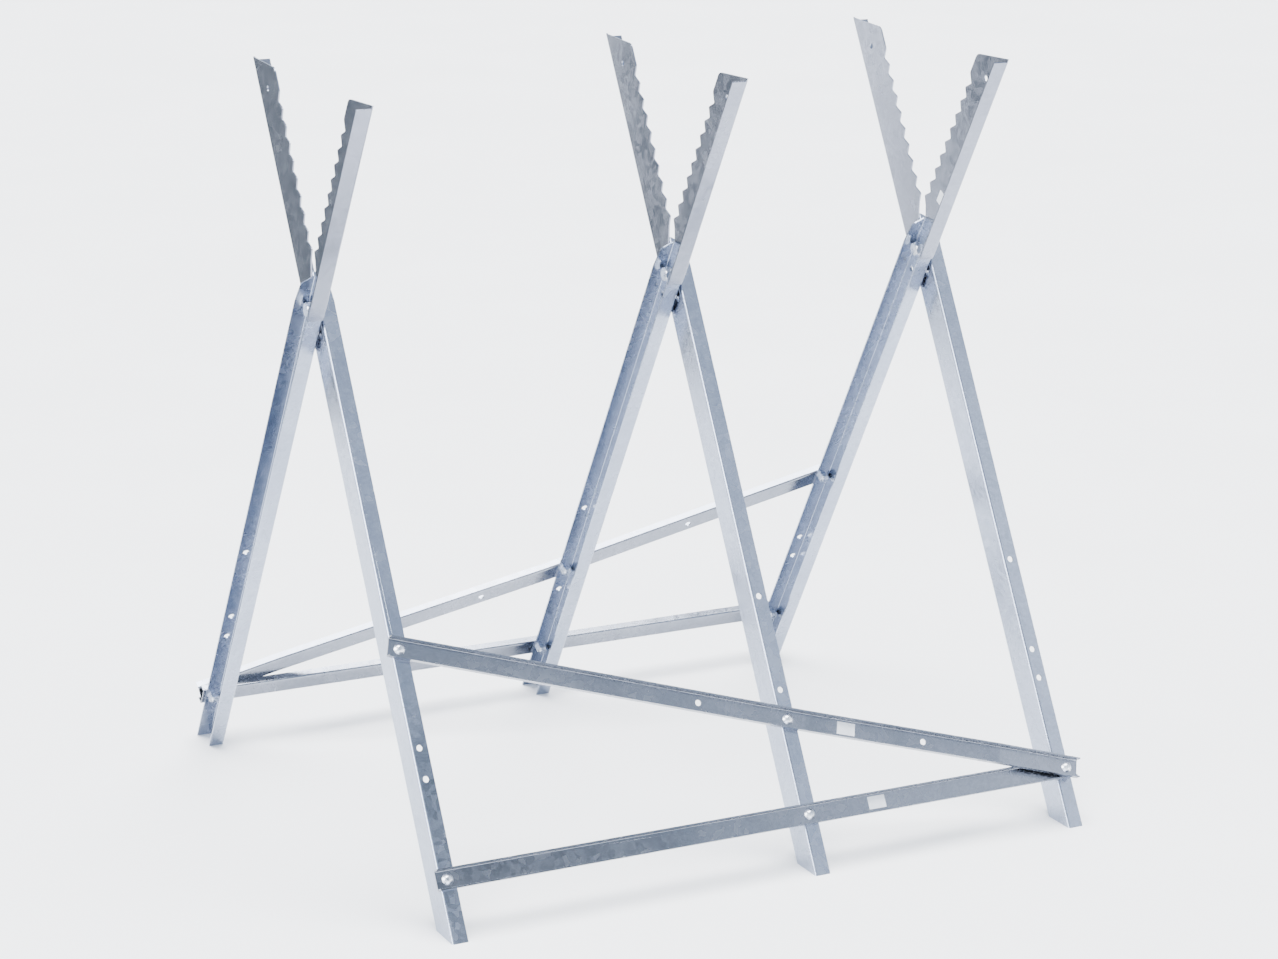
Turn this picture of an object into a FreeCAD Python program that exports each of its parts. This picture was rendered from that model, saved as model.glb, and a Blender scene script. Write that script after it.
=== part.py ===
"""Folding log sawhorse: three crossed pairs of sheet-steel legs with toothed jaws.

Frame: +Z up, +X along the log, origin on the floor under the middle of the footprint.
The front side has its feet at -Y and its jaws at +Y.  The rear side is the same set of
parts turned half a turn about Z.  Both sides turn on three bolts that share one axis.
"""
import FreeCAD
import Part
import math
import os

from FreeCAD import Vector

os.makedirs("parts", exist_ok=True)

# ---- driving dimensions, mm and degrees -------------------------------------------------
HALF_ANGLE = 29.7             # lean of each leg from upright when the sawhorse is open
PIVOT_HEIGHT = 558.0          # pivot axis above the floor
FRAME_X = {"left": -354.0, "middle": 48.0, "right": 354.0}

SHEET = 1.5                   # thickness of every pressed part
RUNNING_GAP = 0.4             # between the front and the rear jaw at each crossing
BEND_RADIUS = 2.5             # outside radius of every fold

LEG_WIDTH = 35.0              # web of the leg channel
PIVOT_OFFSET = 7.5            # pivot hole from the web's middle, towards the outer flange
LEG_FLANGE = 17.0             # flanges of the leg channel
LEG_TOP = 36.0                # leg end above the pivot, at the outer flange
FLANGE_END_RUN = 12.0         # slanted end of the flanges at the top: run and drop
FLANGE_END_DROP = 8.0
FLANGE_END_RADIUS = 7.0
BRACE_HOLE_DOWN = (355.0, 454.4, 485.6, 585.0)     # below the pivot, along the leg
BRACE_HOLE_IN = 8.5           # from the outside of the web
SPARE_HOLE_DOWN = 29.0        # second hole in web and jaw, below the pivot

JAW_TOP = 280.0               # back corner of the jaw tip above the pivot
JAW_TAIL = 40.0               # lower end of the jaw's flat tail, below the pivot
JAW_FLANGE = 18.0             # plain flange
JAW_FLANGE_LOW = 8.0          # lower end of the plain flange, above the pivot
JAW_FLANGE_STEP = 4.0         # plain flange ends this far below the tip
TAIL_BACK = -20.0             # edges of the tail, from the pivot
TAIL_FRONT = 7.0
TAIL_RADIUS = 5.0
JAW_ROOT = 17.0               # tooth roots, outwards from the pivot's line
TOOTH_DEPTH = 7.5
TOOTH_PITCH = 18.6
TOOTH_COUNT = 9
TOOTH_UNDER = 8.0             # run of each tooth's lower flank
LOWEST_TOOTH = 55.0           # lowest tooth tip above the pivot
TOOTH_TIP_RADIUS = 1.8
TOOTH_ROOT_RADIUS = 1.6
TIP_SLANT = 32.0              # slant of the tip's top edge
TIP_RADIUS = 9.0
TIP_HOLE_UP = 236.0           # hole near the tip, above the pivot
TIP_HOLE_OUT = -2.0           # and outwards from the pivot's line

BRACE_WIDTH = 21.0
BRACE_FLANGE = 9.0
BRACE_END = 12.0              # material beyond the last hole
RISE_AFTER_BOLT = 20.0        # where the diagonal starts to rise, past its middle bolt
LEVEL_BEFORE_END = 80.0       # where it lies level on the lower brace, before its end hole
SPARE_HOLE = 168.7            # spare hole of a diagonal, from one end hole

SMALL_BOLT_D = 6.0            # brace bolts
SMALL_HOLE_D = 6.6
BUTTON_D = 12.0
BUTTON_HEIGHT = 3.3
SOCKET_ACROSS_FLATS = 4.0
SOCKET_DEPTH = 2.0
SMALL_NUT_FLATS = 10.0
SMALL_NUT_HEIGHT = 5.0
THREAD_STICKOUT = 2.0

PIVOT_BOLT_D = 8.0
PIVOT_RUNNING_CLEARANCE = 0.05     # radial, in the front leg and jaw
PIVOT_SNUG_CLEARANCE = 0.1         # radial, in the rear leg and jaw
PIVOT_HEAD_FLATS = 13.0
PIVOT_HEAD_HEIGHT = 5.3
PIVOT_NUT_HEIGHT = 6.8
NYLON_COLLAR_HEIGHT = 1.4
WASHER_D = 15.0
WASHER_THICKNESS = 1.2
PIVOT_END_PLAY = 0.3          # between the front web and the nut's washer

LABEL_THICKNESS = 0.15
BRACE_LABEL = (20.0, 13.0)    # along and across the brace
DIAGONAL_LABEL_FROM_LEFT = 488.0
LOWER_LABEL_FROM_LEFT = 481.0
JAW_LABELS = {"middle": (68.0, 20.0, 20.0), "right": (66.0, 15.0, 25.0)}   # up, tall, wide

# ---- derived dimensions -----------------------------------------------------------------
ALPHA = math.radians(HALF_ANGLE)
SIN_A = math.sin(ALPHA)
COS_A = math.cos(ALPHA)
JAW_FACE = RUNNING_GAP / 2            # jaw face next to the other side's jaw
WEB_FACE = JAW_FACE + SHEET           # outside of the leg's web
OUTER = LEG_WIDTH / 2 - PIVOT_OFFSET  # outside of the outer flange, from the pivot
INNER = OUTER - LEG_WIDTH             # outside of the inner flange
JAW_BACK = INNER - SHEET              # outside of the jaw's plain flange
HOLE_ACROSS = WEB_FACE + BRACE_HOLE_IN
TOOTH_TIP = JAW_ROOT + TOOTH_DEPTH
LOW_HOLE = BRACE_HOLE_DOWN[-1]
DIAGONAL_TOP_HOLE = BRACE_HOLE_DOWN[0]
FAR = 2000.0                          # larger than the object, for trimming solids


# ---- outlines and small solids ----------------------------------------------------------
def rounded_outline(corners):
    """Closed face in the XY plane from (x, y, radius) corners, with tangent arcs."""
    count = len(corners)
    entries = []
    exits = []
    middles = []
    for i, (x, y, radius) in enumerate(corners):
        here = Vector(x, y, 0)
        before = Vector(*corners[i - 1][:2], 0)
        after = Vector(*corners[(i + 1) % count][:2], 0)
        to_before = (before - here).normalize()
        to_after = (after - here).normalize()
        half = to_before.getAngle(to_after) / 2
        if radius == 0:
            entries.append(here)
            exits.append(here)
            middles.append(None)
            continue
        reach = radius / math.tan(half)
        inward = (to_before + to_after).normalize()
        centre = here + inward * (radius / math.sin(half))
        entries.append(here + to_before * reach)
        exits.append(here + to_after * reach)
        middles.append(centre - inward * radius)
    edges = []
    for i in range(count):
        if middles[i] is not None:
            edges.append(Part.Arc(entries[i], middles[i], exits[i]).toShape())
        edges.append(Part.LineSegment(exits[i], entries[(i + 1) % count]).toShape())
    return Part.Face(Part.Wire(edges))


def hexagon(across_flats):
    """Hexagonal face in the XY plane."""
    radius = across_flats / math.sqrt(3)
    corners = [(radius * math.cos(math.pi * k / 3), radius * math.sin(math.pi * k / 3), 0)
               for k in range(6)]
    return rounded_outline(corners)


def fold_section(width, flange, left_flange=True, right_flange=True):
    """U or L section of folded sheet: web on y = 0, flanges towards +y, centred on x."""
    half = width / 2
    inner = BEND_RADIUS - SHEET
    corners = []
    if left_flange:
        corners += [(-half + SHEET, flange, 0), (-half, flange, 0), (-half, 0, BEND_RADIUS)]
    else:
        corners += [(-half, SHEET, 0), (-half, 0, 0)]
    if right_flange:
        corners += [(half, 0, BEND_RADIUS), (half, flange, 0), (half - SHEET, flange, 0),
                    (half - SHEET, SHEET, inner)]
    else:
        corners += [(half, 0, 0), (half, SHEET, 0)]
    if left_flange:
        corners.append((-half + SHEET, SHEET, inner))
    return rounded_outline(corners)


def bar_along_u(section, low, high):
    """Extrude a section drawn in (v, w) along u, from low to high."""
    turned = section.copy()
    turned.transformShape(FreeCAD.Matrix(0, 0, 1, low,
                                         1, 0, 0, 0,
                                         0, 1, 0, 0,
                                         0, 0, 0, 1))
    return turned.extrude(Vector(high - low, 0, 0))


def hole_through_web(u, v, diameter):
    """Drill through the web and the jaw, along w."""
    return Part.makeCylinder(diameter / 2, 2 * LEG_FLANGE, Vector(u, v, -LEG_FLANGE),
                             Vector(0, 0, 1))


def place(shape, side, x):
    """Move a shape from the leg's own frame (u up, v outwards, w away) to the object."""
    turn = 1 if side == "front" else -1
    matrix = FreeCAD.Matrix(0, 0, turn, x,
                            turn * SIN_A, -turn * COS_A, 0, 0,
                            COS_A, SIN_A, 0, PIVOT_HEIGHT,
                            0, 0, 0, 1)
    placed = shape.copy()
    placed.Placement = FreeCAD.Placement(matrix)
    return placed


def place_panel(shape, side):
    """Move a shape from a side panel's frame (p along X, q up the legs, r outwards)."""
    turn = 1 if side == "front" else -1
    matrix = FreeCAD.Matrix(turn, 0, 0, 0,
                            0, turn * SIN_A, -turn * COS_A, 0,
                            0, COS_A, SIN_A, PIVOT_HEIGHT,
                            0, 0, 0, 1)
    placed = shape.copy()
    placed.Placement = FreeCAD.Placement(matrix)
    return placed


# ---- pressed parts, in the leg's own frame ----------------------------------------------
def make_leg(pivot_clearance):
    """Channel leg: web on the crossing side, both ends cut level with the floor."""
    section = fold_section(LEG_WIDTH, LEG_FLANGE)
    section.translate(Vector(-PIVOT_OFFSET, WEB_FACE, 0))
    foot = -PIVOT_HEIGHT / COS_A
    lean = SIN_A / COS_A
    leg = bar_along_u(section, foot - LEG_WIDTH, LEG_TOP + LEG_WIDTH)

    side_view = rounded_outline([
        (foot - OUTER * lean, OUTER, 0),
        (LEG_TOP, OUTER, 0),
        (LEG_TOP + LEG_WIDTH * lean, INNER, 0),
        (foot - INNER * lean, INNER, 0)])
    side_view.translate(Vector(0, 0, -LEG_FLANGE))
    leg = leg.common(side_view.extrude(Vector(0, 0, 3 * LEG_FLANGE)))

    for v, end in ((OUTER, LEG_TOP), (INNER, LEG_TOP + LEG_WIDTH * lean)):
        leg = leg.cut(flange_end_trim(v, end))
    for down in BRACE_HOLE_DOWN:
        leg = leg.cut(Part.makeCylinder(SMALL_HOLE_D / 2, LEG_WIDTH / 2,
                                        Vector(-down, OUTER - LEG_WIDTH / 4, HOLE_ACROSS),
                                        Vector(0, 1, 0)))
    leg = leg.cut(hole_through_web(0, 0, PIVOT_BOLT_D + 2 * pivot_clearance))
    return leg.cut(hole_through_web(-SPARE_HOLE_DOWN, 0, SMALL_HOLE_D))


def flange_end_trim(v, end):
    """Waste at a flange's top end: a slant that rounds into the free edge."""
    free_edge = WEB_FACE + LEG_FLANGE
    waste = rounded_outline([
        (end, WEB_FACE + BEND_RADIUS, 0),
        (end - FLANGE_END_DROP, WEB_FACE + BEND_RADIUS + FLANGE_END_RUN, FLANGE_END_RADIUS),
        (end - 4 * FLANGE_END_DROP, free_edge, 0),
        (end + LEG_WIDTH, free_edge + LEG_FLANGE, 0),
        (end + LEG_WIDTH, WEB_FACE + BEND_RADIUS, 0)])
    waste.transformShape(FreeCAD.Matrix(1, 0, 0, 0,
                                        0, 0, 1, v - 2 * SHEET,
                                        0, 1, 0, 0,
                                        0, 0, 0, 1))
    return waste.extrude(Vector(0, 4 * SHEET, 0))


def toothed_edge():
    """Corners along the jaw's toothed edge, from the lowest tooth up to the shoulder."""
    corners = []
    for k in range(TOOTH_COUNT):
        tip = LOWEST_TOOTH + k * TOOTH_PITCH
        corners.append((tip - TOOTH_UNDER, JAW_ROOT, TOOTH_ROOT_RADIUS))
        corners.append((tip, TOOTH_TIP, TOOTH_TIP_RADIUS))
    last_root = LOWEST_TOOTH + TOOTH_COUNT * TOOTH_PITCH - TOOTH_UNDER
    corners.append((last_root, JAW_ROOT, TOOTH_ROOT_RADIUS))
    corners.append((last_root + TOOTH_UNDER, TOOTH_TIP + 1, TIP_RADIUS / 2))
    return corners


def make_jaw(pivot_clearance):
    """Angle-section jaw: toothed flange between the legs, plain flange round the back."""
    plate_reach = TOOTH_TIP + 2
    section = fold_section(plate_reach - JAW_BACK, JAW_FLANGE, right_flange=False)
    section.translate(Vector((plate_reach + JAW_BACK) / 2, JAW_FACE, 0))
    jaw = bar_along_u(section, -JAW_TAIL, JAW_TOP)

    inner_top = JAW_TOP - (TOOTH_TIP + 1 - JAW_BACK) * math.tan(math.radians(TIP_SLANT))
    outline = [(-JAW_TAIL, TAIL_BACK, TAIL_RADIUS), (-JAW_TAIL, TAIL_FRONT, TAIL_RADIUS),
               (LEG_TOP - TAIL_RADIUS, TAIL_FRONT, TAIL_RADIUS)]
    outline += toothed_edge()
    outline += [(inner_top, TOOTH_TIP + 1, TIP_RADIUS), (JAW_TOP, JAW_BACK, 0),
                (JAW_FLANGE_LOW, JAW_BACK, 0), (JAW_FLANGE_LOW, TAIL_BACK, 0)]
    side_view = rounded_outline(outline)
    side_view.translate(Vector(0, 0, -JAW_FLANGE))
    jaw = jaw.common(side_view.extrude(Vector(0, 0, 3 * JAW_FLANGE)))

    jaw = jaw.cut(Part.makeBox(FAR, 2 * BEND_RADIUS, FAR,
                               Vector(JAW_TOP - JAW_FLANGE_STEP, JAW_BACK - BEND_RADIUS,
                                      JAW_FACE + BEND_RADIUS)))
    jaw = jaw.cut(hole_through_web(0, 0, PIVOT_BOLT_D + 2 * pivot_clearance))
    jaw = jaw.cut(hole_through_web(-SPARE_HOLE_DOWN, 0, SMALL_HOLE_D))
    return jaw.cut(hole_through_web(TIP_HOLE_UP, TIP_HOLE_OUT, SMALL_HOLE_D))


# ---- braces, in the side panel's frame --------------------------------------------------
def panel_hole(side, frame, down):
    """Brace hole of one leg as (p, q) in its side panel."""
    turn = 1 if side == "front" else -1
    return (turn * FRAME_X[frame] + HOLE_ACROSS, -down)


def brace_axes(start, end):
    """Length and direction angle of a brace between two holes."""
    along = (end[0] - start[0], end[1] - start[1])
    return math.hypot(*along), math.degrees(math.atan2(along[1], along[0]))


def brace_bar(length_low, length_high):
    """Shallow channel along +X with its web on z = 0 and its flanges towards +z."""
    section = fold_section(BRACE_WIDTH, BRACE_FLANGE)
    return bar_along_u(section, length_low, length_high)


def drill_brace(brace, distances):
    """Bolt holes through a brace's web."""
    for distance in distances:
        brace = brace.cut(Part.makeCylinder(SMALL_HOLE_D / 2, 6 * BRACE_FLANGE,
                                            Vector(distance, 0, -3 * BRACE_FLANGE),
                                            Vector(0, 0, 1)))
    return brace


def lay_brace(brace, start, angle):
    """Turn a brace about its first hole and lay it on the legs' outer flanges."""
    laid = brace.copy()
    place = FreeCAD.Placement(Vector(start[0], start[1], OUTER),
                              FreeCAD.Rotation(Vector(0, 0, 1), angle))
    laid.Placement = place.multiply(brace.Placement)
    return laid


def make_lower_brace(side):
    """Straight brace through the lowest hole of the three legs."""
    start = panel_hole(side, FRAME_ORDER[side][0], LOW_HOLE)
    end = panel_hole(side, FRAME_ORDER[side][2], LOW_HOLE)
    middle = panel_hole(side, "middle", LOW_HOLE)
    length, angle = brace_axes(start, end)
    brace = brace_bar(-BRACE_END, length + BRACE_END)
    brace = drill_brace(brace, (0, middle[0] - start[0], length))
    return lay_brace(brace, start, angle)


def diagonal_rise(side):
    """Where a diagonal starts and ends its rise, and the rise's angle."""
    start, middle, end = diagonal_holes(side)
    low = math.dist(start, middle) + RISE_AFTER_BOLT
    high = math.dist(start, end) - LEVEL_BEFORE_END
    return low, high, math.degrees(math.atan2(BRACE_FLANGE, high - low))


def tilt_from(shape, distance, angle):
    """Tilt a shape drawn from x = 0 upwards and start it at a distance along the brace."""
    tilted = shape.copy()
    tilted.rotate(Vector(0, 0, 0), Vector(0, 1, 0), -angle)
    tilted.translate(Vector(distance, 0, 0))
    return tilted


def make_diagonal_brace(side):
    """Rising brace, sprung outwards at its low end to lie on the lower brace's flanges."""
    start, middle, end = diagonal_holes(side)
    length, angle = brace_axes(start, end)
    low, high, slope = diagonal_rise(side)
    beyond = Part.makeBox(FAR, FAR, FAR, Vector(0, -FAR / 2, -FAR / 2))
    after_low = tilt_from(beyond, low, slope / 2)
    after_high = tilt_from(beyond, high, slope / 2)
    first = brace_bar(-BRACE_END, low + BRACE_END).cut(after_low)
    rising = tilt_from(brace_bar(-BRACE_END, high - low + BRACE_END), low, slope)
    rising = rising.common(after_low).cut(after_high)
    last = brace_bar(high - BRACE_END, length + BRACE_END)
    last.translate(Vector(0, 0, BRACE_FLANGE))
    brace = first.fuse([rising, last.common(after_high)])
    holes = [0, math.dist(start, middle), length]
    if side == "front":
        holes += [math.dist(middle, end), length - SPARE_HOLE]
    else:
        holes += [math.dist(middle, end), SPARE_HOLE]
    return lay_brace(drill_brace(brace, holes), start, angle)


def diagonal_holes(side):
    """High end, middle and low end holes of a diagonal, as (p, q)."""
    high, _, low = FRAME_ORDER[side]
    start = panel_hole(side, high, DIAGONAL_TOP_HOLE)
    middle = panel_hole(side, "middle", MIDDLE_HOLE[side])
    return start, middle, panel_hole(side, low, LOW_HOLE)


# A diagonal starts high at the first frame named and ends low at the last.
FRAME_ORDER = {"front": ("left", "middle", "right"), "rear": ("right", "middle", "left")}
MIDDLE_HOLE = {"front": BRACE_HOLE_DOWN[2], "rear": BRACE_HOLE_DOWN[1]}


# ---- fasteners --------------------------------------------------------------------------
def button_bolt(grip):
    """Button-head socket bolt: underside of the head on z = 0, shank towards -z."""
    ball_radius = (BUTTON_D ** 2 / 4 + BUTTON_HEIGHT ** 2) / (2 * BUTTON_HEIGHT)
    ball = Part.makeSphere(ball_radius, Vector(0, 0, BUTTON_HEIGHT - ball_radius))
    head = ball.common(Part.makeCylinder(BUTTON_D, BUTTON_HEIGHT))
    socket = hexagon(SOCKET_ACROSS_FLATS).extrude(Vector(0, 0, BUTTON_HEIGHT))
    socket.translate(Vector(0, 0, BUTTON_HEIGHT - SOCKET_DEPTH))
    length = grip + SMALL_NUT_HEIGHT + THREAD_STICKOUT
    shank = Part.makeCylinder(SMALL_BOLT_D / 2, length, Vector(0, 0, -length))
    return head.cut(socket).fuse(shank).removeSplitter()


def hex_nut(across_flats, height, bore, collar=0.0):
    """Hexagon nut standing on z = 0, with chamfered corners and an optional collar."""
    blank = hexagon(across_flats).extrude(Vector(0, 0, height))
    corner = across_flats / math.sqrt(3)
    chamfer = corner - across_flats / 2
    barrel = Part.makeCylinder(corner, height)
    barrel = barrel.makeChamfer(chamfer * 0.9, [barrel.Edges[0], barrel.Edges[2]])
    nut = blank.common(barrel)
    if collar:
        ring = Part.makeCylinder(across_flats / 2 - 1, collar, Vector(0, 0, height))
        nut = nut.fuse(ring).removeSplitter()
    return nut.cut(Part.makeCylinder(bore / 2, height + collar))


def brace_fastener_points(side):
    """(p, q, height of the head above the leg's outer face) of one side's brace bolts."""
    start, middle, end = diagonal_holes(side)
    shared = FRAME_ORDER[side][2]
    points = [(*start, SHEET), (*middle, SHEET), (*end, BRACE_FLANGE + SHEET)]
    for frame in FRAME_X:
        if frame != shared:
            points.append((*panel_hole(side, frame, LOW_HOLE), SHEET))
    return points


def make_brace_bolts(side):
    """Button-head bolts through the braces and the legs' outer flanges."""
    bolts = []
    for p, q, stand in brace_fastener_points(side):
        bolt = button_bolt(stand + SHEET)
        bolt.translate(Vector(p, q, OUTER + stand))
        bolts.append(bolt)
    return Part.makeCompound(bolts)


def make_brace_nuts(side):
    """Nuts on the brace bolts, inside the leg channels."""
    nuts = []
    for p, q, _ in brace_fastener_points(side):
        nut = hex_nut(SMALL_NUT_FLATS, SMALL_NUT_HEIGHT, SMALL_BOLT_D)
        nut.translate(Vector(p, q, OUTER - SHEET - SMALL_NUT_HEIGHT))
        nuts.append(nut)
    return Part.makeCompound(nuts)


def washer(low):
    """Washer on the pivot axis, along X from low."""
    ring = Part.makeCylinder(WASHER_D / 2, WASHER_THICKNESS)
    ring = ring.cut(Part.makeCylinder(PIVOT_BOLT_D / 2, WASHER_THICKNESS))
    return along_x(ring, low)


def along_x(shape, x):
    """Turn a shape that stands on z = 0 to stand on the plane at x, on the pivot axis."""
    turned = shape.copy()
    turned.Placement = FreeCAD.Placement(Vector(x, 0, PIVOT_HEIGHT),
                                         FreeCAD.Rotation(Vector(0, 1, 0), 90))
    return turned


WEB_INSIDE = WEB_FACE + SHEET
NUT_SEAT = WEB_INSIDE + PIVOT_END_PLAY + WASHER_THICKNESS
HEAD_SEAT = WEB_INSIDE + WASHER_THICKNESS
NUT_TOTAL = PIVOT_NUT_HEIGHT + NYLON_COLLAR_HEIGHT


def make_pivot_bolt(x):
    """Hexagon bolt: head in the rear channel, thread end in the front channel."""
    head = hex_nut(PIVOT_HEAD_FLATS, PIVOT_HEAD_HEIGHT, 0.5)
    plug = Part.makeCylinder(1, PIVOT_HEAD_HEIGHT)
    length = HEAD_SEAT + NUT_SEAT + NUT_TOTAL + THREAD_STICKOUT
    shank = Part.makeCylinder(PIVOT_BOLT_D / 2, length, Vector(0, 0, PIVOT_HEAD_HEIGHT))
    bolt = head.fuse([plug, shank]).removeSplitter()
    return along_x(bolt, x - HEAD_SEAT - PIVOT_HEAD_HEIGHT)


def make_pivot_nut(x):
    """Lock nut with a nylon collar, in the front channel."""
    nut = hex_nut(PIVOT_HEAD_FLATS, PIVOT_NUT_HEIGHT, PIVOT_BOLT_D, NYLON_COLLAR_HEIGHT)
    return along_x(nut, x + NUT_SEAT)


# ---- stickers ---------------------------------------------------------------------------
def brace_label():
    """Blank sticker for the inside of a brace's web, centred on its middle line."""
    along, across = BRACE_LABEL
    return Part.makeBox(along, across, LABEL_THICKNESS, Vector(-along / 2, -across / 2, SHEET))


def make_diagonal_label():
    """Sticker on the rising part of the front diagonal."""
    start, _, end = diagonal_holes("front")
    _, angle = brace_axes(start, end)
    low, _, slope = diagonal_rise("front")
    label = brace_label()
    label.translate(Vector(DIAGONAL_LABEL_FROM_LEFT - low, 0, 0))
    return place_panel_shape(lay_brace(tilt_from(label, low, slope), start, angle), "front")


def make_lower_label():
    """Sticker on the front lower brace."""
    label = brace_label()
    label.translate(Vector(LOWER_LABEL_FROM_LEFT, 0, 0))
    start = panel_hole("front", "left", LOW_HOLE)
    return place_panel_shape(lay_brace(label, start, 0), "front")


def make_jaw_label(frame):
    """Blank sticker on the toothed flange of a rear jaw, beside its plain flange."""
    up, tall, wide = JAW_LABELS[frame]
    low_v = JAW_BACK + SHEET + BEND_RADIUS
    return Part.makeBox(tall, wide, LABEL_THICKNESS, Vector(up, low_v, WEB_FACE))


# ---- the object -------------------------------------------------------------------------
def build():
    """All sub-parts by node name."""
    nodes = {}
    clearance = {"front": PIVOT_RUNNING_CLEARANCE, "rear": PIVOT_SNUG_CLEARANCE}
    for side in ("front", "rear"):
        leg = make_leg(clearance[side])
        jaw = make_jaw(clearance[side])
        for frame, x in FRAME_X.items():
            nodes[f"{side}_leg_{frame}"] = place(leg, side, x)
            nodes[f"{side}_jaw_{frame}"] = place(jaw, side, x)
        nodes[f"{side}_lower_brace"] = place_panel_shape(make_lower_brace(side), side)
        nodes[f"{side}_diagonal_brace"] = place_panel_shape(make_diagonal_brace(side), side)
        nodes[f"{side}_brace_bolts"] = place_panel_shape(make_brace_bolts(side), side)
        nodes[f"{side}_brace_nuts"] = place_panel_shape(make_brace_nuts(side), side)

    for frame, x in FRAME_X.items():
        nodes[f"pivot_bolt_{frame}"] = make_pivot_bolt(x)
        nodes[f"pivot_lock_nut_{frame}"] = make_pivot_nut(x)
    nodes["pivot_head_washers"] = Part.makeCompound(
        [washer(x - HEAD_SEAT) for x in FRAME_X.values()])
    nodes["pivot_nut_washers"] = Part.makeCompound(
        [washer(x + NUT_SEAT - WASHER_THICKNESS) for x in FRAME_X.values()])

    nodes["diagonal_brace_label"] = make_diagonal_label()
    nodes["lower_brace_label"] = make_lower_label()
    for frame in JAW_LABELS:
        nodes[f"rear_jaw_label_{frame}"] = place(make_jaw_label(frame), "rear", FRAME_X[frame])
    return nodes


def place_panel_shape(shape, side):
    """Place a shape that may already carry a placement of its own."""
    inner = shape.Placement
    placed = place_panel(shape, side)
    placed.Placement = placed.Placement.multiply(inner)
    return placed


for name, solid in build().items():
    solid.exportStep(f"parts/{name}.step")
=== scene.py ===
"""Looks of the folding log sawhorse: galvanised steel, blank stickers, studio and camera."""

import math

import bpy
from mathutils import Matrix, Vector

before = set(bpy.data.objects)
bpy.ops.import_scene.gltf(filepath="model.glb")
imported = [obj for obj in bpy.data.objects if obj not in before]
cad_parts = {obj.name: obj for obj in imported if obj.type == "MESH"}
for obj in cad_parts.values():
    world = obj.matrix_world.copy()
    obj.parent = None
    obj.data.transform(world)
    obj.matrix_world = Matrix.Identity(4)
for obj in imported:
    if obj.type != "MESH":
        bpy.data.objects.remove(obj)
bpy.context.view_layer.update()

# ---- camera and studio: metres, degrees and watts ---------------------------------------
CAMERA_AT = (-1.607, -3.171, 1.350)
CAMERA_YAW = -27.05           # heading from +Y, positive to the left
CAMERA_PITCH = -15.88         # negative looks down
CAMERA_ROLL = 0.62            # lifts the camera's right-hand side
CAMERA_CLIP = (0.05, 200.0)
FOCAL_RATIO = 2.726           # focal length over the picture's width
SENSOR = 36.0                 # millimetres

FLOOR_SIZE = 60.0
SKY_STRENGTH = 2.2
SKY = ((0.05, (0.74, 0.84, 0.98)), (0.75, (0.40, 0.46, 0.56)))    # by height of the direction
OVERHEAD_STRENGTH = 12.0
OVERHEAD_WIDTH = 50.0         # angular size of the light above
AIM = (0.0, 0.0, 0.4)         # the soft boxes face this point
SOFT_BOXES = {                # place, width, watts, whether dull surfaces get its light too
    "key_left": ((-3.5, -1.2, 2.0), 2.6, 300.0, False),
    "fill_right": ((3.0, -2.4, 1.8), 2.0, 14.0, True),
}
DARK_CARDS = {                # upright screens: x range, y, z range
    "card_behind": ((-1.7, -0.56), 1.5, (0.02, 1.2)),
    "card_before": ((0.06, 0.72), -1.72, (0.84, 1.36)),
}

# ---- surfaces: scales are per metre, heights in metres ----------------------------------
STEELS = {                    # light tone, dark tone, roughness range
    # the legs' tones are lighter and bluer than the jaws' and braces': partly the steel's own
    # tone, partly painted blue reflection and painted bounce light for the channels' insides
    "leg": ((0.37, 0.41, 0.50), (0.30, 0.34, 0.425), (0.18, 0.30)),
    "jaw": ((0.28, 0.30, 0.36), (0.23, 0.25, 0.305), (0.16, 0.27)),
    "brace": ((0.29, 0.31, 0.36), (0.225, 0.245, 0.29), (0.18, 0.30)),
}
CRYSTAL_SCALE = 150.0         # zinc spangle
CRYSTAL_TONE = 0.25           # how much the spangle shows in the tone
CRYSTAL_WARP = 0.035          # bends the crystals' borders
DENT_HEIGHT = 0.0001
FACET_HEIGHT = 0.00001
SCRATCH_HEIGHT = 0.00006
NOISE_SPAN = (0.3, 0.7)       # most of a noise texture's values lie between these
PLAIN = (1.0, 1.0, 1.0)       # unstretched object coordinates

MIX_RESULT = 2                # sockets of a colour Mix node, which share their names
MIX_FACTOR = 0
MIX_FIRST = 6
MIX_SECOND = 7


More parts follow.
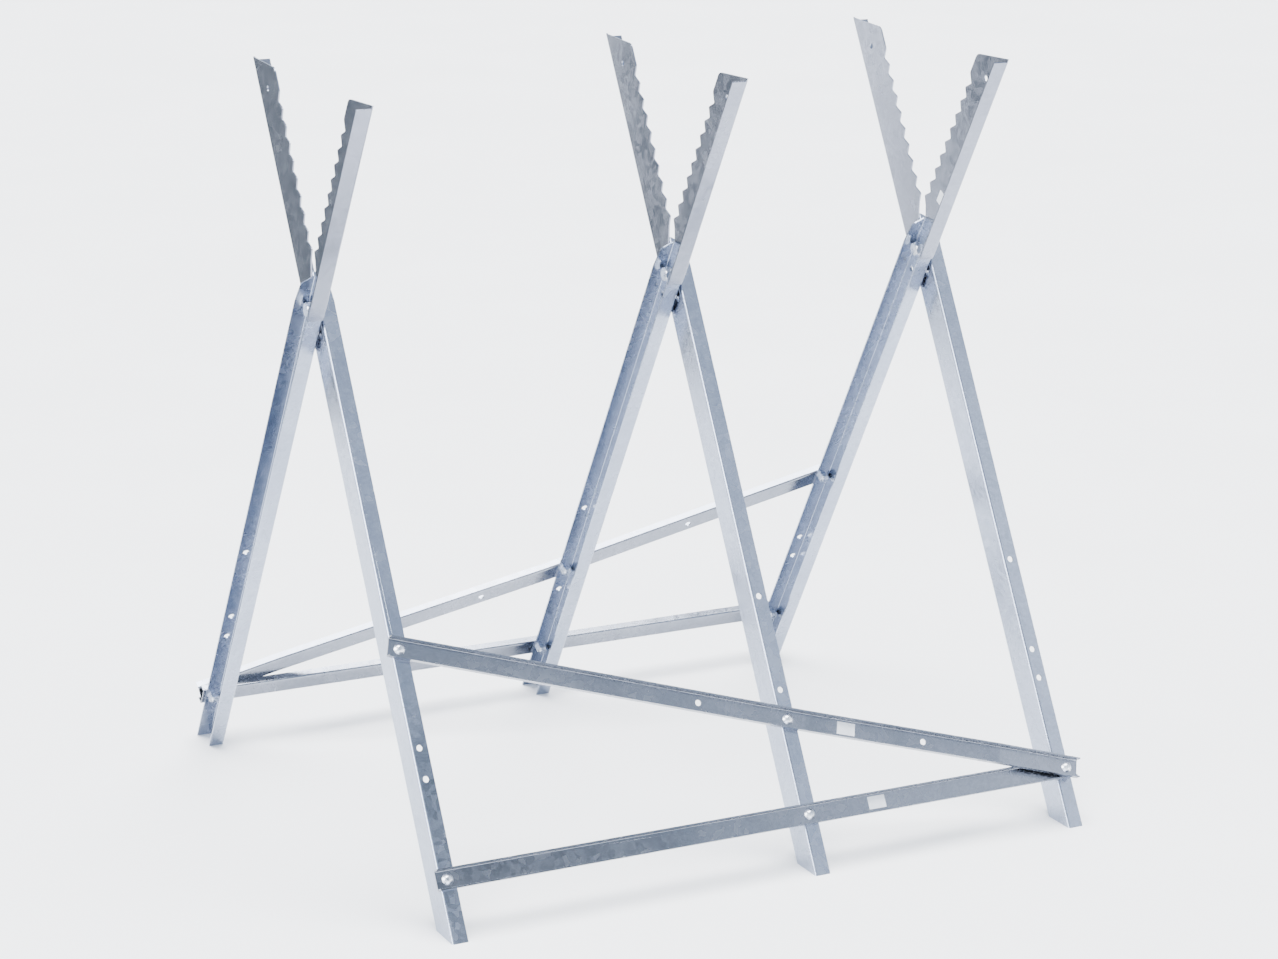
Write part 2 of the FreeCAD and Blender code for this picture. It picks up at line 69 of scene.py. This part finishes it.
# ---- node helpers -----------------------------------------------------------------------
class Graph:
    """Small helper that adds shader nodes and links them by socket name or number."""

    def __init__(self, name):
        self.material = bpy.data.materials.new(name)
        self.material.use_nodes = True
        self.tree = self.material.node_tree
        self.tree.nodes.clear()
        self.output = self.add("ShaderNodeOutputMaterial")
        self.shader = self.add("ShaderNodeBsdfPrincipled")
        self.link(self.shader, "BSDF", self.output, "Surface")
        self.coords = self.add("ShaderNodeTexCoord")

    def add(self, kind, inputs=None, **settings):
        """New node with the given settings and socket values."""
        node = self.tree.nodes.new(kind)
        for key, value in settings.items():
            setattr(node, key, value)
        for key, value in (inputs or {}).items():
            node.inputs[key].default_value = value
        return node

    def link(self, source, out, target, into):
        """Link two sockets, each given by name or number."""
        self.tree.links.new(source.outputs[out], target.inputs[into])

    def space(self, scale):
        """Object coordinates stretched by scale."""
        mapping = self.add("ShaderNodeMapping", {"Scale": scale})
        self.link(self.coords, "Object", mapping, "Vector")
        return mapping

    def noise(self, where, scale, detail=3.0, roughness=0.5):
        """Noise texture."""
        node = self.add("ShaderNodeTexNoise",
                        {"Scale": scale, "Detail": detail, "Roughness": roughness})
        self.link(where, "Vector", node, "Vector")
        return node

    def ramp(self, source, out, low, high):
        """Colour ramp between two (position, colour) stops."""
        node = self.add("ShaderNodeValToRGB")
        for element, (position, colour) in zip(node.color_ramp.elements, (low, high)):
            element.position = position
            element.color = (*colour, 1.0)
        self.link(source, out, node, "Fac")
        return node

    def remap(self, source, out, low, high, span=(0.0, 1.0)):
        """Value from the span carried to low..high."""
        node = self.add("ShaderNodeMapRange", {"From Min": span[0], "From Max": span[1],
                                               "To Min": low, "To Max": high})
        self.link(source, out, node, "Value")
        return node

    def grey(self, value):
        """Grey colour from a remapped value."""
        node = self.add("ShaderNodeCombineColor")
        for channel in ("Red", "Green", "Blue"):
            self.link(value, "Result", node, channel)
        return node

    def multiply(self, base, out, grey, factor):
        """Multiply a colour by a grey."""
        node = self.add("ShaderNodeMix", data_type="RGBA", blend_type="MULTIPLY")
        node.inputs[MIX_FACTOR].default_value = factor
        self.link(base, out, node, MIX_FIRST)
        self.link(grey, "Color", node, MIX_SECOND)
        return node

    def bump(self, source, out, distance, strength, below=None):
        """Bump from a height, on top of another bump."""
        node = self.add("ShaderNodeBump", {"Distance": distance, "Strength": strength})
        self.link(source, out, node, "Height")
        if below is not None:
            self.link(below, "Normal", node, "Normal")
        return node


# ---- materials --------------------------------------------------------------------------
def galvanised(name, light, dark, roughness):
    """Zinc-coated sheet: crystal spangle, cloudy tone, fine rolling lines, soft dents."""
    g = Graph(name)
    here = g.space(PLAIN)
    warp = g.noise(here, 22.0, 2.0)
    shift = g.add("ShaderNodeMixRGB", {"Fac": CRYSTAL_WARP}, blend_type="ADD")
    g.link(here, "Vector", shift, "Color1")
    g.link(warp, "Color", shift, "Color2")
    crystals = g.add("ShaderNodeTexVoronoi", {"Scale": CRYSTAL_SCALE, "Randomness": 1.0})
    g.link(shift, "Color", crystals, "Vector")
    tone = g.add("ShaderNodeSeparateColor")
    g.link(crystals, "Color", tone, "Color")
    clouds = g.noise(here, 7.0, 4.0, 0.6)
    fine = g.noise(here, 260.0, 3.0, 0.6)
    lines = g.noise(g.space((1.0, 7.0, 7.0)), 120.0, 2.0)

    # for the legs these tones also carry painted blue reflection and painted bounce light, not
    # only the steel's own cloudy tone
    base = g.ramp(clouds, "Fac", (0.32, dark), (0.68, light))
    grains = g.grey(g.remap(tone, "Red", 0.86, 1.1))
    spangled = g.multiply(base, "Color", grains, CRYSTAL_TONE)
    specks = g.grey(g.remap(fine, "Fac", 0.94, 1.05, NOISE_SPAN))
    coloured = g.multiply(spangled, MIX_RESULT, specks, 1.0)
    g.link(coloured, MIX_RESULT, g.shader, "Base Color")

    rough_clouds = g.remap(clouds, "Fac", *roughness, NOISE_SPAN)
    rough_crystals = g.remap(tone, "Green", -0.05, 0.05)
    rough = g.add("ShaderNodeMath", operation="ADD")
    g.link(rough_clouds, "Result", rough, 0)
    g.link(rough_crystals, "Result", rough, 1)
    g.link(rough, "Value", g.shader, "Roughness")
    g.shader.inputs["Metallic"].default_value = 1.0

    dents = g.noise(here, 30.0, 2.0, 0.4)
    soft = g.bump(dents, "Fac", DENT_HEIGHT, 0.35)
    facets = g.bump(tone, "Blue", FACET_HEIGHT, 0.4, soft)
    scratches = g.bump(lines, "Fac", SCRATCH_HEIGHT, 0.5, facets)
    g.link(scratches, "Normal", g.shader, "Normal")
    return g.material


def zinc_hardware():
    """Bright zinc plating on bolts, nuts and washers."""
    g = Graph("zinc_plate")
    here = g.space(PLAIN)
    clouds = g.noise(here, 160.0, 3.0)
    base = g.ramp(clouds, "Fac", (0.3, (0.60, 0.63, 0.68)), (0.7, (0.82, 0.84, 0.87)))
    g.link(base, "Color", g.shader, "Base Color")
    g.shader.inputs["Metallic"].default_value = 1.0
    rough = g.remap(clouds, "Fac", 0.2, 0.38, NOISE_SPAN)
    g.link(rough, "Result", g.shader, "Roughness")
    bump = g.bump(g.noise(here, 900.0, 2.0), "Fac", 0.00004, 0.5)
    g.link(bump, "Normal", g.shader, "Normal")
    return g.material


def sticker_film():
    """Matt white film with a faint mottle."""
    g = Graph("sticker_film")
    here = g.space(PLAIN)
    clouds = g.noise(here, 90.0, 3.0)
    base = g.ramp(clouds, "Fac", (0.3, (0.80, 0.82, 0.86)), (0.7, (0.90, 0.91, 0.93)))
    g.link(base, "Color", g.shader, "Base Color")
    rough = g.remap(clouds, "Fac", 0.45, 0.62, NOISE_SPAN)
    g.link(rough, "Result", g.shader, "Roughness")
    bump = g.bump(g.noise(here, 1400.0, 2.0), "Fac", 0.00002, 0.5)
    g.link(bump, "Normal", g.shader, "Normal")
    return g.material


def matt_paint(name, mottle, low, high, roughness):
    """Dull paint; mottle is the scale and detail of its faint unevenness."""
    g = Graph(name)
    base = g.ramp(g.noise(g.space(PLAIN), *mottle), "Fac", (0.3, low), (0.7, high))
    g.link(base, "Color", g.shader, "Base Color")
    g.shader.inputs["Roughness"].default_value = roughness
    return g.material


def finish_cad_nodes():
    """Give every CAD node the material of the first word found in its name."""
    steels = {word: galvanised(f"galvanised_{word}", *look) for word, look in STEELS.items()}
    zinc = zinc_hardware()
    finishes = {"label": sticker_film(), "bolt": zinc, "nut": zinc, "washer": zinc, **steels}
    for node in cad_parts:
        piece = bpy.data.objects[node]
        finish = next(material for word, material in finishes.items() if word in node)
        if not piece.material_slots:
            piece.data.materials.append(finish)
        for material_slot in piece.material_slots:
            material_slot.material = finish


# ---- floor, lights and camera -----------------------------------------------------------
def backdrop(name, corners, material):
    """Flat four-cornered panel that isn't part of the sawhorse."""
    mesh = bpy.data.meshes.new(name)
    mesh.from_pydata(corners, [], [(0, 1, 2, 3)])
    mesh.materials.append(material)
    panel = bpy.data.objects.new(name, mesh)
    bpy.context.scene.collection.objects.link(panel)
    return panel


def floor():
    """Plain pale floor that runs out of sight."""
    paint = matt_paint("studio_floor", (3.0, 2.0), (0.90, 0.90, 0.90), (0.93, 0.93, 0.93), 0.85)
    half = FLOOR_SIZE / 2
    backdrop("studio_floor", [(-half, -half, 0), (half, -half, 0), (half, half, 0),
                              (-half, half, 0)], paint)


def dark_cards():
    """Dark upright screens that no camera sees and only reflections show."""
    paint = matt_paint("dark_card", (2.0, 3.0), (0.10, 0.11, 0.12), (0.13, 0.14, 0.15), 0.9)
    for name, ((left, right), y, (low, high)) in DARK_CARDS.items():
        card = backdrop(name, [(left, y, low), (right, y, low), (right, y, high),
                               (left, y, high)], paint)
        card.visible_camera = False
        card.visible_diffuse = False
        card.visible_shadow = False


def lamp(name, kind, power):
    """New light in the scene."""
    data = bpy.data.lights.new(name, kind)
    data.energy = power
    light = bpy.data.objects.new(name, data)
    bpy.context.scene.collection.objects.link(light)
    return light


def overhead():
    """Wide soft light from straight above, which whitens the floor."""
    lamp("overhead", "SUN", OVERHEAD_STRENGTH).data.angle = math.radians(OVERHEAD_WIDTH)


def soft_boxes():
    """Square soft boxes aimed at the sawhorse; only the fill also lights dull surfaces."""
    for name, (at, width, power, lights_dull) in SOFT_BOXES.items():
        light = lamp(name, "AREA", power)
        light.data.shape = "RECTANGLE"
        light.data.size = width
        light.data.size_y = width
        light.location = at
        light.rotation_mode = "QUATERNION"
        light.rotation_quaternion = (Vector(AIM) - Vector(at)).to_track_quat("-Z", "Y")
        light.visible_diffuse = lights_dull


def sky():
    """Bluish surroundings, even all round and about half as bright overhead."""
    world = bpy.data.worlds.new("studio")
    world.use_nodes = True
    tree = world.node_tree
    background = tree.nodes["Background"]
    background.inputs["Strength"].default_value = SKY_STRENGTH
    direction = tree.nodes.new("ShaderNodeTexCoord")
    parts = tree.nodes.new("ShaderNodeSeparateXYZ")
    height = tree.nodes.new("ShaderNodeValToRGB")
    for element, (position, colour) in zip(height.color_ramp.elements, SKY):
        element.position = position
        element.color = (*colour, 1.0)
    tree.links.new(direction.outputs["Generated"], parts.inputs["Vector"])
    tree.links.new(parts.outputs["Z"], height.inputs["Fac"])
    tree.links.new(height.outputs["Color"], background.inputs["Color"])
    bpy.context.scene.world = world


def camera():
    """Camera from its place, heading, pitch and roll."""
    yaw, pitch, roll = (math.radians(a) for a in (CAMERA_YAW, CAMERA_PITCH, CAMERA_ROLL))
    forward = Vector((-math.sin(yaw) * math.cos(pitch), math.cos(yaw) * math.cos(pitch),
                      math.sin(pitch)))
    level = Vector((math.cos(yaw), math.sin(yaw), 0.0))
    upright = level.cross(forward)
    right = math.cos(roll) * level + math.sin(roll) * upright
    up = math.cos(roll) * upright - math.sin(roll) * level
    data = bpy.data.cameras.new("camera")
    data.sensor_width = SENSOR
    data.lens = FOCAL_RATIO * SENSOR
    data.clip_start, data.clip_end = CAMERA_CLIP
    eye = bpy.data.objects.new("camera", data)
    turn = Matrix((right, up, -forward)).transposed()
    eye.matrix_world = Matrix.Translation(CAMERA_AT) @ turn.to_4x4()
    bpy.context.scene.collection.objects.link(eye)
    bpy.context.scene.camera = eye


finish_cad_nodes()
floor()
sky()
overhead()
dark_cards()
soft_boxes()
camera()
